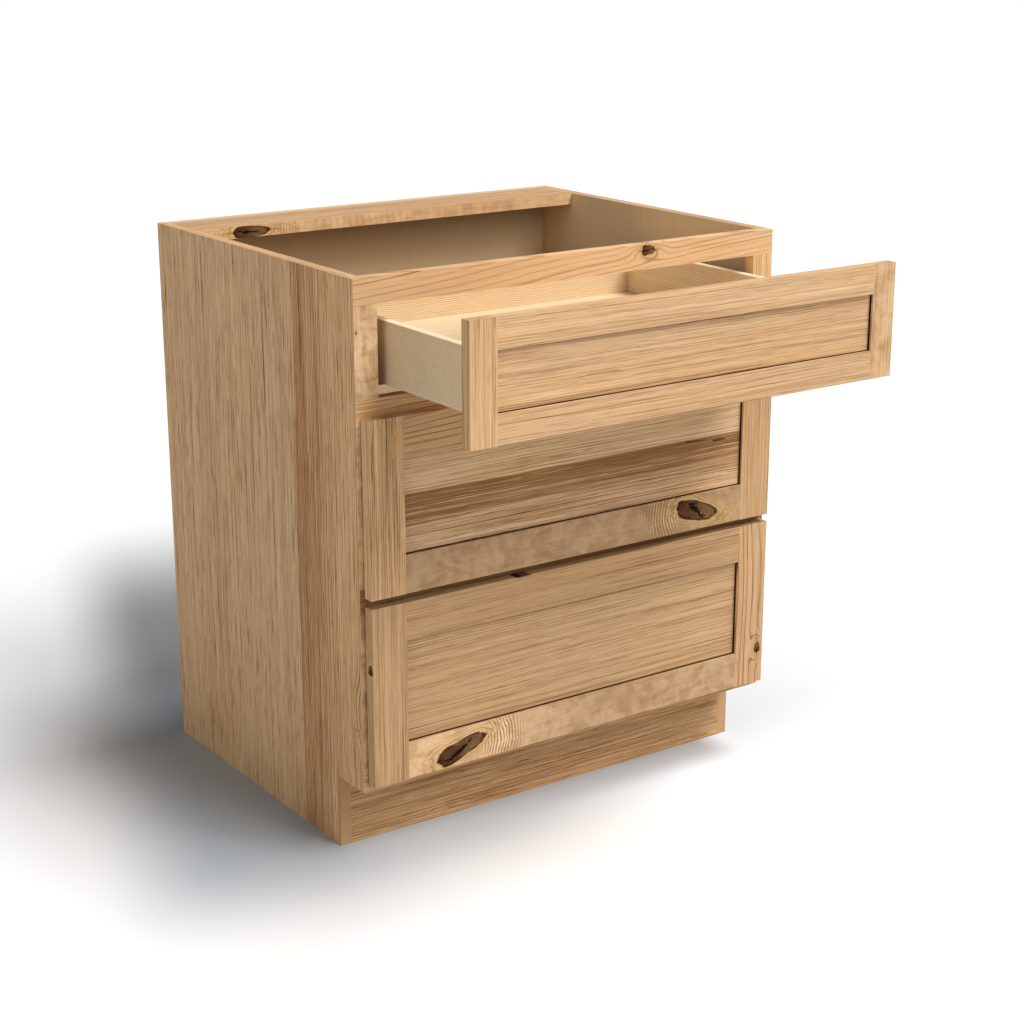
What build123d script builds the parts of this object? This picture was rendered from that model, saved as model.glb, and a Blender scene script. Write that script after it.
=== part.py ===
from build123d import *
import os
from dataclasses import dataclass

# Base cabinet with a face frame and three drawers on concealed full-extension slides.
# Millimetres. X runs left to right, Y from the room towards the wall, Z up.
# The origin is on the floor, in the wall plane, at the middle of the width.

os.makedirs("parts", exist_ok=True)

# Carcass
width = 762.0
depth = 609.6  # from the wall to the face frame's front
height = 876.3
board = 19.05  # thickness of the carcass boards and of the face frame
toe_height = 114.3
toe_setback = 73.0  # toe-kick board behind the face frame's front
dado = 6.35  # depth of the grooves that hold the bottom panel
rabbet = 9.525  # width of the side panels' rear rabbets
stretcher_depth = 88.9

# Face frame, half-lapped: the rails run through in front of the stiles
frame_member = 38.1
lap = board / 2
rail_bottoms = {
    "frame_bottom_rail": toe_height,
    "frame_lower_mid_rail": 391.3,
    "frame_upper_mid_rail": 667.5,
    "frame_top_rail": height - frame_member,
}

# Drawer fronts: stiles, rails and a recessed panel
front_reveal = 7.0  # frame left showing beside each front
front_thickness = 18.0
panel_recess = 6.7
tongue = 6.35  # thickness of the tongues and width of their grooves
groove_depth = 9.5
groove_play = 0.5
panel_play = 0.25
edge_round = 1.2

# Drawer boxes
box_clearance = 14.3  # opening edge to box side
box_wall = 12.7
box_length = 550.0
box_lift = 16.3  # box above the bottom of its opening
bottom_recess = 12.7
bottom_thickness = 6.35
corner_joint = 6.35  # depth of the rabbets and grooves in the box walls
box_edge_round = 2.0

# Bumpers behind the fronts
front_gap = 2.2
bumper_radius = 4.8
bumper_thickness = 2.1
bumper_inset_x = 12.0
bumper_inset_z = 15.0

# Slides: across in X from the opening edge, up in Z from the box's bottom edge
sheet = 1.2
slide_outer = 28.0
slide_inner = 52.0
drawer_rail_low = -2.0
fixed_rail_low = -14.0
fixed_rail_high = -4.0
flange_high = 22.0
slide_play = 0.3
tube_wall = 1.5
fixed_rail_length = 530.0
fixed_rail_gap = 3.5  # behind the fixed rail, to the back panel
middle_rail_length = 345.0
middle_rail_gap = 60.5  # behind the middle rail, to the back panel, drawer closed
drawer_rail_setback = 2.0
hook_height = 32.0
hook_gap = 0.1
cleat_height = 51.3

# Locks under the box bottoms
lock_width = 23.0
lock_length = 48.0
lock_height = 9.7
lever_length = 16.0
lever_width = 10.0
lever_height = 5.0
lock_round = 1.5

# Screws
screw_radius = 2.0
pilot_radius = 2.1
head_radius = 4.0
head_height = 2.2
tip_length = 4.0
tip_radius = 0.4
cross_length = 4.6
cross_width = 1.1
cross_depth = 1.2
carcass_screw_length = 28.0
drawer_screw_length = 21.0
bore_radius = 4.6
bore_depth = 3.2
pilot_play = 0.8
slide_screw_height = 12.0
slide_screw_inset = 45.0
back_screw_spread = 300.0
side_screw_heights = (300.0, 600.0)
front_screw_spread = 200.0
front_screw_share = 0.3  # of the panel's height, up and down from its middle

# Derived places
half = width / 2
inner_half = half - board
opening_half = half - frame_member
box_half = opening_half - box_clearance
frame_front = -depth
frame_back = frame_front + board
back_face = -board
deck_low = toe_height + frame_member - board
deck_high = toe_height + frame_member
front_half = half - front_reveal
fixed_rail_rear = back_face - fixed_rail_gap
middle_rail_rear = back_face - middle_rail_gap
LEFT, RIGHT = -1, 1
SIDES = {"left": LEFT, "right": RIGHT}


@dataclass
class Drawer:
    """Sizes of one drawer, and how far it stands open."""

    name: str
    front_low: float
    front_height: float
    front_member: float
    rail_below: str
    box_height: float
    pulled: float

    @property
    def front_high(self):
        return self.front_low + self.front_height

    @property
    def box_low(self):
        return rail_bottoms[self.rail_below] + frame_member + box_lift

    @property
    def box_high(self):
        return self.box_low + self.box_height

    @property
    def front_back(self):
        """The plane where the front meets the box."""
        return frame_front - front_gap - self.pulled

    @property
    def box_rear(self):
        return self.front_back + box_length


drawers = [
    Drawer("top_drawer", 694.5, 169.5, 42.7, "frame_upper_mid_rail", 91.0, 255.1),
    Drawer("middle_drawer", 416.7, 263.5, 58.7, "frame_lower_mid_rail", 190.5, 0.0),
    Drawer("bottom_drawer", 127.8, 276.2, 58.7, "frame_bottom_rail", 190.5, 0.0),
]


def save(piece, name):
    """Label a finished piece and write it."""
    piece.part.label = name
    export_step(piece.part, f"parts/{name}.step")


def block(x, y, z, mode=Mode.ADD):
    """A box between two planes on each axis, added to or cut from the open part."""
    with Locations(tuple((low + high) / 2 for low, high in (x, y, z))):
        Box(*(abs(high - low) for low, high in (x, y, z)), mode=mode)


def strip(x, z):
    """A rectangle between two lines on each axis of the open sketch."""
    with Locations(((x[0] + x[1]) / 2, (z[0] + z[1]) / 2)):
        Rectangle(abs(x[1] - x[0]), abs(z[1] - z[0]))


def inboard(side, distance):
    """X at a distance inside the opening's edge, on one side."""
    return side * (opening_half - distance)


def facing(point, direction):
    """A plane at a point that faces along a direction."""
    return Plane(origin=point, z_dir=direction)


def screw(seat, length):
    """A pan-head screw: head on the seat plane, shank along the plane's -Z."""
    shank = length - tip_length
    middle = (Align.CENTER, Align.CENTER)
    with Locations(seat):
        Cylinder(screw_radius, shank, align=(*middle, Align.MAX))
        Cylinder(head_radius, head_height, align=(*middle, Align.MIN))
    with Locations(seat.offset(-shank)):
        Cone(tip_radius, screw_radius, tip_length, align=(*middle, Align.MAX))
    with Locations(seat.offset(head_height)):
        for size in ((cross_length, cross_width), (cross_width, cross_length)):
            Box(*size, cross_depth, align=(*middle, Align.MAX), mode=Mode.SUBTRACT)


# Screw seats. Each plane faces out of the head.
back_seats_in_boards = [
    facing((x, -bore_depth, z), (0, 1, 0))
    for x in (-back_screw_spread, 0, back_screw_spread)
    for z in (height - board / 2, (deck_low + deck_high) / 2)
]
back_seats_in_sides = [
    facing((side * (inner_half + rabbet / 2), -bore_depth, z), (0, 1, 0))
    for side in (LEFT, RIGHT)
    for z in side_screw_heights
]
slide_screw_rows = (
    fixed_rail_rear - slide_screw_inset,
    fixed_rail_rear - fixed_rail_length + slide_screw_inset,
)


def slide_seats(side):
    """Seats of the screws that hold one side's fixed rails and cleats."""
    return [
        facing((inboard(side, sheet), y, drawer.box_low + slide_screw_height), (-side, 0, 0))
        for drawer in drawers
        for y in slide_screw_rows
    ]


def front_seats(drawer):
    """Seats of the screws that hold a front to its box, inside the box."""
    middle = drawer.front_low + drawer.front_height / 2
    spread = (drawer.front_height - 2 * drawer.front_member) * front_screw_share
    return [
        facing((x, drawer.front_back + box_wall, z), (0, 1, 0))
        for x in (-front_screw_spread, front_screw_spread)
        for z in (middle - spread, middle + spread)
    ]


def pilot_holes(seats, length):
    """Holes for screws, as deep as the screws reach."""
    with Locations(*seats):
        Hole(pilot_radius, depth=length + pilot_play)


# Carcass
def side_panel(name, side):
    """Full-depth side with a toe notch, a groove for the bottom and a rear rabbet."""
    outline = [
        (0, 0),
        (frame_front + toe_setback, 0),
        (frame_front + toe_setback, toe_height),
        (frame_back, toe_height),
        (frame_back, height),
        (0, height),
    ]
    with BuildPart() as panel:
        with BuildSketch(Plane.YZ.offset(side * inner_half)):
            with BuildLine():
                Polyline(outline, close=True)
            make_face()
        extrude(amount=side * board)
        groove = (side * inner_half, side * (inner_half + dado))
        block(groove, (frame_back, back_face), (deck_low, deck_high), mode=Mode.SUBTRACT)
        rear_step = (side * inner_half, side * (inner_half + rabbet))
        block(rear_step, (back_face, 0), (0, height), mode=Mode.SUBTRACT)
        pilot_holes(slide_seats(side), carcass_screw_length)
        pilot_holes([seat for seat in back_seats_in_sides if seat.origin.X * side > 0],
                    carcass_screw_length)
    save(panel, name)


def back_panel(name):
    """Full-height back in the sides' rabbets, with bored seats for its screws."""
    span = inner_half + rabbet
    with BuildPart() as panel:
        block((-span, span), (back_face, 0), (0, height))
        seats = back_seats_in_boards + back_seats_in_sides
        with Locations(*(seat.offset(bore_depth) for seat in seats)):
            CounterBoreHole(pilot_radius, bore_radius, bore_depth, depth=board)
    save(panel, name)


def screwed_board(name, x, y, z):
    """A plain carcass board with pilot holes for the screws that reach it from behind."""
    with BuildPart() as piece:
        block(x, y, z)
        reached = [seat for seat in back_seats_in_boards if z[0] < seat.origin.Z < z[1]]
        pilot_holes(reached, carcass_screw_length)
    save(piece, name)


def toe_kick_board(name):
    """Board between the sides, flush with the back of their toe notches."""
    front = frame_front + toe_setback
    with BuildPart() as piece:
        block((-inner_half, inner_half), (front, front + board), (0, deck_low))
    save(piece, name)


def frame_stile(name, side):
    """Face-frame stile, notched in front for every rail that laps over it."""
    with BuildPart() as stile:
        across = (side * opening_half, side * half)
        block(across, (frame_front, frame_back), (toe_height, height))
        for low in rail_bottoms.values():
            notch = (low, low + frame_member)
            block(across, (frame_front, frame_front + lap), notch, mode=Mode.SUBTRACT)
    save(stile, name)


def frame_rail(name, low):
    """Face-frame rail of the full width, halved behind at its ends."""
    with BuildPart() as rail:
        up = (low, low + frame_member)
        block((-half, half), (frame_front, frame_back), up)
        for side in (LEFT, RIGHT):
            end = (side * opening_half, side * half)
            block(end, (frame_front + lap, frame_back), up, mode=Mode.SUBTRACT)
    save(rail, name)


def slide_cleats(name):
    """Packing strips that bring the fixed rails out to the openings' edges."""
    with BuildPart() as cleats:
        for side in (LEFT, RIGHT):
            for drawer in drawers:
                low = drawer.box_low - box_lift
                across = (side * opening_half, side * inner_half)
                block(across, (frame_back, back_face), (low, low + cleat_height))
            pilot_holes(slide_seats(side), carcass_screw_length)
    save(cleats, name)


def slide_fixed_rails(name):
    """Fixed slide rails: a flange on the cleat, a base under the box and a channel."""
    with BuildPart() as rails:
        for side in (LEFT, RIGHT):
            for drawer in drawers:
                low = drawer.box_low + fixed_rail_low
                with BuildSketch(Plane.XZ.offset(-fixed_rail_rear)):
                    strip((inboard(side, 0), inboard(side, sheet)),
                          (low, drawer.box_low + flange_high))
                    strip((inboard(side, 0), inboard(side, slide_inner)), (low, low + sheet))
                    for wall in (slide_outer, slide_inner - sheet):
                        strip((inboard(side, wall), inboard(side, wall + sheet)),
                              (low, drawer.box_low + fixed_rail_high))
                extrude(amount=fixed_rail_length)
            pilot_holes(slide_seats(side), carcass_screw_length)
    save(rails, name)


def carcass_screws(name):
    """Screws through the back panel and through the fixed rails and cleats."""
    with BuildPart() as screws:
        seats = back_seats_in_boards + back_seats_in_sides
        for seat in seats + slide_seats(LEFT) + slide_seats(RIGHT):
            screw(seat, carcass_screw_length)
    save(screws, name)


# Drawers
def front_levels(drawer):
    """Y planes of a front: face, panel face, back of the tongues, back."""
    face = drawer.front_back - front_thickness
    return face, face + panel_recess, face + panel_recess + tongue, drawer.front_back


def front_stile(drawer, name, side):
    """Upright of a drawer front, grooved along its inner edge."""
    face, tongue_face, tongue_back, back = front_levels(drawer)
    inner = side * (front_half - drawer.front_member)
    up = (drawer.front_low, drawer.front_high)
    with BuildPart() as stile:
        block((inner, side * front_half), (face, back), up)
        groove = (inner, inner + side * groove_depth)
        block(groove, (tongue_face, tongue_back), up, mode=Mode.SUBTRACT)
        face_edges = stile.edges().filter_by(Axis.Z).group_by(Axis.Y)[0]
        fillet(face_edges.sort_by(Axis.X)[0 if side == LEFT else -1], edge_round)
    save(stile, name)


def front_rail(drawer, name, outer, inner):
    """Rail between the stiles, with a tongue at each end and a groove for the panel."""
    face, tongue_face, tongue_back, back = front_levels(drawer)
    span = front_half - drawer.front_member
    groove_floor = inner + (groove_depth if outer > inner else -groove_depth)
    with BuildPart() as rail:
        block((-span, span), (face, back), (outer, inner))
        reach = span + groove_depth
        block((-reach, reach), (tongue_face, tongue_back), (outer, groove_floor))
        block((-span, span), (tongue_face, tongue_back), (groove_floor, inner), mode=Mode.SUBTRACT)
        face_edges = rail.edges().filter_by(Axis.X).group_by(Axis.Y)[0]
        fillet(face_edges.sort_by(Axis.Z)[-1 if outer > inner else 0], edge_round)
    save(rail, name)


def front_panel(drawer, name):
    """Recessed panel, flush behind, with a thinner tongue all round."""
    _, tongue_face, tongue_back, back = front_levels(drawer)
    field_x = front_half - drawer.front_member
    field_low = drawer.front_low + drawer.front_member
    field_high = drawer.front_high - drawer.front_member
    reach = groove_depth - groove_play
    with BuildPart() as panel:
        block((-field_x - reach, field_x + reach), (tongue_face, tongue_back),
              (field_low - reach, field_high + reach))
        block((panel_play - field_x, field_x - panel_play), (tongue_back, back),
              (field_low + panel_play, field_high - panel_play))
        pilot_holes(front_seats(drawer), drawer_screw_length)
    save(panel, name)


def box_side(drawer, name, side):
    """Side of a drawer box, rabbeted at both ends and grooved for the bottom."""
    inner = side * (box_half - box_wall)
    step = (inner, inner + side * corner_joint)
    groove = (drawer.box_low + bottom_recess, drawer.box_low + bottom_recess + bottom_thickness)
    up = (drawer.box_low, drawer.box_high)
    with BuildPart() as wall:
        block((inner, side * box_half), (drawer.front_back, drawer.box_rear), up)
        top_edges = wall.edges().filter_by(Axis.Y).group_by(Axis.Z)[-1]
        fillet(top_edges, box_edge_round)
        block(step, (drawer.front_back, drawer.front_back + box_wall), up, mode=Mode.SUBTRACT)
        block(step, (drawer.box_rear - box_wall, drawer.box_rear), up, mode=Mode.SUBTRACT)
        block(step, (drawer.front_back, drawer.box_rear), groove, mode=Mode.SUBTRACT)
    save(wall, name)


def box_end_span():
    """Half the length of a box's front and back, which reach into the sides' rabbets."""
    return box_half - box_wall + corner_joint


def box_front(drawer, name):
    """Front wall of a drawer box, grooved for the bottom, with holes for the front's screws."""
    span = box_end_span()
    inner_face = drawer.front_back + box_wall
    groove = (drawer.box_low + bottom_recess, drawer.box_low + bottom_recess + bottom_thickness)
    with BuildPart() as wall:
        block((-span, span), (drawer.front_back, inner_face), (drawer.box_low, drawer.box_high))
        block((-span, span), (inner_face - corner_joint, inner_face), groove, mode=Mode.SUBTRACT)
        pilot_holes(front_seats(drawer), drawer_screw_length)
    save(wall, name)


def box_back(drawer, name):
    """Back wall of a drawer box, standing on the bottom."""
    span = box_end_span()
    low = drawer.box_low + bottom_recess + bottom_thickness
    with BuildPart() as wall:
        block((-span, span), (drawer.box_rear - box_wall, drawer.box_rear), (low, drawer.box_high))
    save(wall, name)


def box_bottom(drawer, name):
    """Bottom of a drawer box, in the grooves of its sides and front."""
    span = box_end_span()
    low = drawer.box_low + bottom_recess
    with BuildPart() as floor:
        front_edge = drawer.front_back + box_wall - corner_joint
        block((-span, span), (front_edge, drawer.box_rear), (low, low + bottom_thickness))
    save(floor, name)


def drawer_rails(drawer, name):
    """Moving slide rails: channels under the box, each with a hook up behind it."""
    top = drawer.box_low + bottom_recess
    low = drawer.box_low + drawer_rail_low
    front = drawer.front_back + box_wall + drawer_rail_setback
    rear = drawer.box_rear + hook_gap + sheet
    with BuildPart() as rails:
        with BuildSketch(Plane.XZ.offset(-rear)):
            strip((inboard(LEFT, slide_outer), inboard(LEFT, slide_inner)), (top - sheet, top))
            for wall in (slide_outer, slide_inner - sheet):
                strip((inboard(LEFT, wall), inboard(LEFT, wall + sheet)), (low, top))
        extrude(amount=rear - front)
        block((inboard(LEFT, slide_outer), inboard(LEFT, slide_inner)), (rear - sheet, rear),
              (top - sheet, top + hook_height))
        mirror(about=Plane.YZ)
    save(rails, name)


def middle_rails(drawer, name):
    """Middle slide rails: tubes between the fixed and the moving channels."""
    outer = slide_outer + sheet + slide_play
    inner = slide_inner - sheet - slide_play
    low = drawer.box_low + fixed_rail_low + sheet + slide_play
    high = drawer.box_low + bottom_recess - sheet - slide_play
    rear = middle_rail_rear - drawer.pulled / 2
    with BuildPart() as rails:
        with BuildSketch(Plane.XZ.offset(-rear)):
            strip((inboard(LEFT, outer), inboard(LEFT, inner)), (low, high))
            offset(amount=-tube_wall, mode=Mode.SUBTRACT)
        extrude(amount=middle_rail_length)
        mirror(about=Plane.YZ)
    save(rails, name)


def front_locks(drawer, name):
    """Locks that hold the box on its slide rails, each with a release lever."""
    top = drawer.box_low + bottom_recess
    front = drawer.front_back + box_wall
    inner = slide_inner + lock_width
    with BuildPart() as locks:
        block((inboard(LEFT, slide_inner), inboard(LEFT, inner)), (front, front + lock_length),
              (top - lock_height, top))
        fillet(locks.edges().filter_by(Axis.Z), lock_round)
        block((inboard(LEFT, inner), inboard(LEFT, inner + lever_length)),
              (front + lock_length / 2, front + lock_length / 2 + lever_width),
              (top - lock_height, top - lock_height + lever_height))
        mirror(about=Plane.YZ)
    save(locks, name)


def front_screws(drawer, name):
    """Screws from inside the box into the front."""
    with BuildPart() as screws:
        for seat in front_seats(drawer):
            screw(seat, drawer_screw_length)
    save(screws, name)


def front_bumpers(drawer, name):
    """Soft pads behind the front's corners, which meet the face frame."""
    x = front_half - bumper_inset_x
    heights = (drawer.front_low + bumper_inset_z, drawer.front_high - bumper_inset_z)
    seats = [(side * x, drawer.front_back, z) for side in (LEFT, RIGHT) for z in heights]
    with BuildPart() as bumpers:
        with Locations(*(facing(seat, (0, 1, 0)) for seat in seats)):
            Cylinder(bumper_radius, bumper_thickness, align=(Align.CENTER, Align.CENTER, Align.MIN))
    save(bumpers, name)


for label, side in SIDES.items():
    side_panel(f"side_panel_{label}", side)
    frame_stile(f"frame_stile_{label}", side)
for label, low in rail_bottoms.items():
    frame_rail(label, low)
back_panel("back_panel")
screwed_board("bottom_panel", (-inner_half - dado, inner_half + dado), (frame_back, back_face),
              (deck_low, deck_high))
screwed_board("rear_stretcher", (-inner_half, inner_half),
              (back_face - stretcher_depth, back_face), (height - board, height))
toe_kick_board("toe_kick_board")
slide_cleats("slide_cleats")
slide_fixed_rails("slide_fixed_rails")
carcass_screws("carcass_screws")

for drawer in drawers:
    for label, side in SIDES.items():
        front_stile(drawer, f"{drawer.name}_front_{label}_stile", side)
        box_side(drawer, f"{drawer.name}_box_{label}_side", side)
    low, high = drawer.front_low, drawer.front_high
    front_rail(drawer, f"{drawer.name}_front_top_rail", high, high - drawer.front_member)
    front_rail(drawer, f"{drawer.name}_front_bottom_rail", low, low + drawer.front_member)
    front_panel(drawer, f"{drawer.name}_front_panel")
    box_front(drawer, f"{drawer.name}_box_front")
    box_back(drawer, f"{drawer.name}_box_back")
    box_bottom(drawer, f"{drawer.name}_box_bottom")
    drawer_rails(drawer, f"{drawer.name}_slide_rails")
    middle_rails(drawer, f"{drawer.name}_slide_middle_rails")
    front_locks(drawer, f"{drawer.name}_locks")
    front_screws(drawer, f"{drawer.name}_screws")
    front_bumpers(drawer, f"{drawer.name}_bumpers")
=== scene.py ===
"""Finishes, studio and camera for the base cabinet with three drawers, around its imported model."""

import logging
import math
from dataclasses import dataclass, field, replace
from enum import Enum
from typing import Any, Mapping, Optional, Sequence, Union

import bpy
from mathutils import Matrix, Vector


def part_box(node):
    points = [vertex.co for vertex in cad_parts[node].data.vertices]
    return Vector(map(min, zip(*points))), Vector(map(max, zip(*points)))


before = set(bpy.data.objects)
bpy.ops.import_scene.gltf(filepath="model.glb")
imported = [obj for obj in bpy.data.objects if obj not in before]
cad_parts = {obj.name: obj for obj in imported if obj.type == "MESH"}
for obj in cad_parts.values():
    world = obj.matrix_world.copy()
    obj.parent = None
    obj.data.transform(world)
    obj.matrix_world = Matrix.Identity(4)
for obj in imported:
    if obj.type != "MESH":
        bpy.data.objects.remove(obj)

log = logging.getLogger("cabinet")

Socket = bpy.types.NodeSocket
Value = Union[float, Sequence[float], Socket]
Colour = tuple[float, float, float, float]
Surface = dict[str, Socket]
Stretch = tuple[float, float, float]

MILLIMETRE = 0.001
NOISE_SWING = 3.0
SEED_STRIDE = (3.17, 1.91, 2.43)
WELD_REACH = 0.01 * MILLIMETRE
SHARP_ANGLE = math.radians(40)
DRAWERS = ("top_drawer", "middle_drawer", "bottom_drawer")


def stain(red: int, green: int, blue: int) -> Colour:
    """Turn a colour as it is seen on a screen into the linear colour that a shader takes.

    Args:
        red: Red from 0 to 255.
        green: Green from 0 to 255.
        blue: Blue from 0 to 255.

    Returns:
        The linear colour with full opacity.
    """

    def linear(level: int) -> float:
        """One channel, from its screen level to its linear value."""
        share = level / 255
        return share / 12.92 if share <= 0.04045 else ((share + 0.055) / 1.055) ** 2.4

    return linear(red), linear(green), linear(blue), 1.0


class SocketKind(Enum):
    """Kinds of socket on a node group."""

    VALUE = "NodeSocketFloat"
    PLACE = "NodeSocketVector"
    COLOUR = "NodeSocketColor"


SocketLabels = Mapping[SocketKind, Sequence[str]]


class Grain(Enum):
    """The row-frame axes that run along a board's fibres, across its face and into its thickness."""

    RAIL = (0, 2, 1)
    STILE = (2, 0, 1)
    SIDE = (2, 1, 0)
    SHELF = (0, 1, 2)
    DRAWER_SIDE = (1, 2, 0)


class Facing(Enum):
    """Ways that a face can look, by row-frame axis and sign; a sign of 0 is either way."""

    LEFT = (0, -1)
    RIGHT = (0, 1)
    SIDEWAYS = (0, 0)
    FORWARD = (1, -1)
    FRONT_OR_BACK = (1, 0)
    UP = (2, 1)
    DOWN = (2, -1)


class Bench:
    """A node tree at work: it adds nodes, feeds their inputs and hands back their outputs."""

    def __init__(self, tree: bpy.types.NodeTree) -> None:
        """Keep the tree that the nodes go into."""
        self.tree = tree

    def feed(self, socket: Socket, value: Value) -> None:
        """Join a socket to another, or set its own value.

        Args:
            socket: The input to feed.
            value: An output socket, a number or a list of numbers.
        """
        if isinstance(value, Socket):
            self.tree.links.new(value, socket)
        else:
            socket.default_value = value

    def add(self, kind: str, inputs: Mapping[Any, Value], **settings: Any) -> bpy.types.Node:
        """Add a node.

        Args:
            kind: Blender's type name of the node.
            inputs: Values for its inputs, by name or number.
            **settings: The node's own settings.

        Returns:
            The new node.
        """
        node = self.tree.nodes.new(kind)
        for name, setting in settings.items():
            setattr(node, name, setting)
        for key, value in inputs.items():
            self.feed(node.inputs[key], value)
        return node

    def math(self, operation: str, *values: Value) -> Socket:
        """The result of a Math node with these values."""
        return self.add("ShaderNodeMath", dict(enumerate(values)), operation=operation).outputs[0]

    def plus(self, first: Value, second: Value) -> Socket:
        """The sum of two values."""
        return self.math("ADD", first, second)

    def minus(self, first: Value, second: Value) -> Socket:
        """The first value less the second."""
        return self.math("SUBTRACT", first, second)

    def times(self, first: Value, second: Value) -> Socket:
        """The product of two values."""
        return self.math("MULTIPLY", first, second)

    def times_plus(self, first: Value, second: Value, third: Value) -> Socket:
        """The product of the first two values, plus the third."""
        return self.math("MULTIPLY_ADD", first, second, third)

    def vector(self, operation: str, *values: Value) -> Socket:
        """The vector from a Vector Math node with these values."""
        node = self.add("ShaderNodeVectorMath", dict(enumerate(values)), operation=operation)
        return node.outputs["Vector"]

    def length(self, place: Socket) -> Socket:
        """The length of a vector."""
        node = self.add("ShaderNodeVectorMath", {0: place}, operation="LENGTH")
        return node.outputs["Value"]

    def split(self, place: Socket) -> list[Socket]:
        """The three parts of a vector."""
        return list(self.add("ShaderNodeSeparateXYZ", {0: place}).outputs)

    def join(self, *parts: Value) -> Socket:
        """A vector from three parts."""
        return self.add("ShaderNodeCombineXYZ", dict(enumerate(parts))).outputs[0]

    def step(self, value: Value, low: Value, high: Value) -> Socket:
        """A smooth step of value from 0 at low to 1 at high; low may be the larger."""
        inputs = {"Value": value, "From Min": low, "From Max": high}
        return self.add("ShaderNodeMapRange", inputs, interpolation_type="SMOOTHSTEP").outputs[0]

    def noise(
        self,
        place: Socket,
        stretch: Sequence[float],
        detail: float = 1.0,
        roughness: float = 0.5,
        distortion: float = 0.0,
    ) -> Socket:
        """Noise with its own fineness on each axis.

        Args:
            place: Where it is looked up, in metres.
            stretch: Lumps for each metre along each axis.
            detail: Octaves of finer noise.
            roughness: Strength of each finer octave.
            distortion: How far the lumps are swirled.

        Returns:
            A value from 0 to 1 about a middle of 0.5.
        """
        inputs = {
            "Vector": self.vector("MULTIPLY", place, stretch),
            "Scale": 1.0,
            "Detail": detail,
            "Roughness": roughness,
            "Distortion": distortion,
        }
        return self.add("ShaderNodeTexNoise", inputs).outputs[0]

    def drift(self, place: Socket, stretch: Sequence[float], reach: Value, detail: float = 1.0) -> Socket:
        """Noise about 0 that swings by about reach each way."""
        centred = self.minus(self.noise(place, stretch, detail), 0.5)
        return self.times(centred, self.times(reach, NOISE_SWING))

    def mix(self, share: Value, first: Value, second: Value, blend: str = "MIX") -> Socket:
        """Two colours mixed by a share from 0 to 1."""
        inputs = {0: share, 6: first, 7: second}
        return self.add("ShaderNodeMix", inputs, data_type="RGBA", blend_type=blend).outputs[2]

    def tint(self, colour: Value, stain_over: Value) -> Socket:
        """A colour multiplied by another."""
        return self.mix(1.0, colour, stain_over, "MULTIPLY")

    def shade(self, colour: Value, factor: Value) -> Socket:
        """A colour made lighter or darker by a factor."""
        return self.tint(colour, self.join(factor, factor, factor))


class EffectGroup:
    """A shader node group with named inputs and outputs, built once."""

    def __init__(self, name: str, takes: SocketLabels, gives: SocketLabels) -> None:
        """Make the empty group with its sockets.

        Args:
            name: Name of the group.
            takes: Its inputs by kind, beside the place and the seed that every group takes.
            gives: Its outputs by kind.
        """
        self.tree = bpy.data.node_groups.new(name, "ShaderNodeTree")
        shared = {SocketKind.PLACE: ("Place",), SocketKind.VALUE: ("Seed",)}
        for side, sockets in (("INPUT", shared), ("INPUT", takes), ("OUTPUT", gives)):
            for kind, labels in sockets.items():
                for label in labels:
                    self.tree.interface.new_socket(label, in_out=side, socket_type=kind.value)
        self.bench = Bench(self.tree)
        self.inputs = self.tree.nodes.new("NodeGroupInput").outputs
        self.outputs = self.tree.nodes.new("NodeGroupOutput").inputs

    def give(self, label: str, value: Value) -> None:
        """Feed one of the group's outputs."""
        self.bench.feed(self.outputs[label], value)

    def place(self, bench: Bench, inputs: Mapping[str, Value]) -> bpy.types.NodeOutputs:
        """Place the group in a tree.

        Args:
            bench: The tree's bench.
            inputs: Values for the group's inputs.

        Returns:
            The outputs of the group node.
        """
        node = bench.tree.nodes.new("ShaderNodeGroup")
        node.node_tree = self.tree
        for key, value in inputs.items():
            bench.feed(node.inputs[key], value)
        return node.outputs


def seeded(group: EffectGroup) -> Socket:
    """The group's place, moved far off by its seed so that no two boards match."""
    away = group.bench.vector("MULTIPLY", group.inputs["Seed"], SEED_STRIDE)
    return group.bench.vector("ADD", group.inputs["Place"], away)


BRIGHTEST = 0.95
WARM_PATCH = (1.03, 0.99, 0.93, 1.0)
PORE_SHADE = (0.46, 0.33, 0.25, 1.0)
MEAN_TONE = 0.46
HEART_TONE = 0.72
CUT_VALUES = ("Ring Gap", "Heart Depth", "Heart Across", "Taper", "Wander", "Slant")
LOG_VALUES = (*CUT_VALUES, "Push")
TIMBER_COLOURS = ("Pale", "Middle", "Dark")
TIMBER_VALUES = (
    "Band Strength",
    "Ring Strength",
    "Fibre Strength",
    "Pore Strength",
    "Curl Strength",
    "Needle Strength",
    "Roughness",
)


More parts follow.
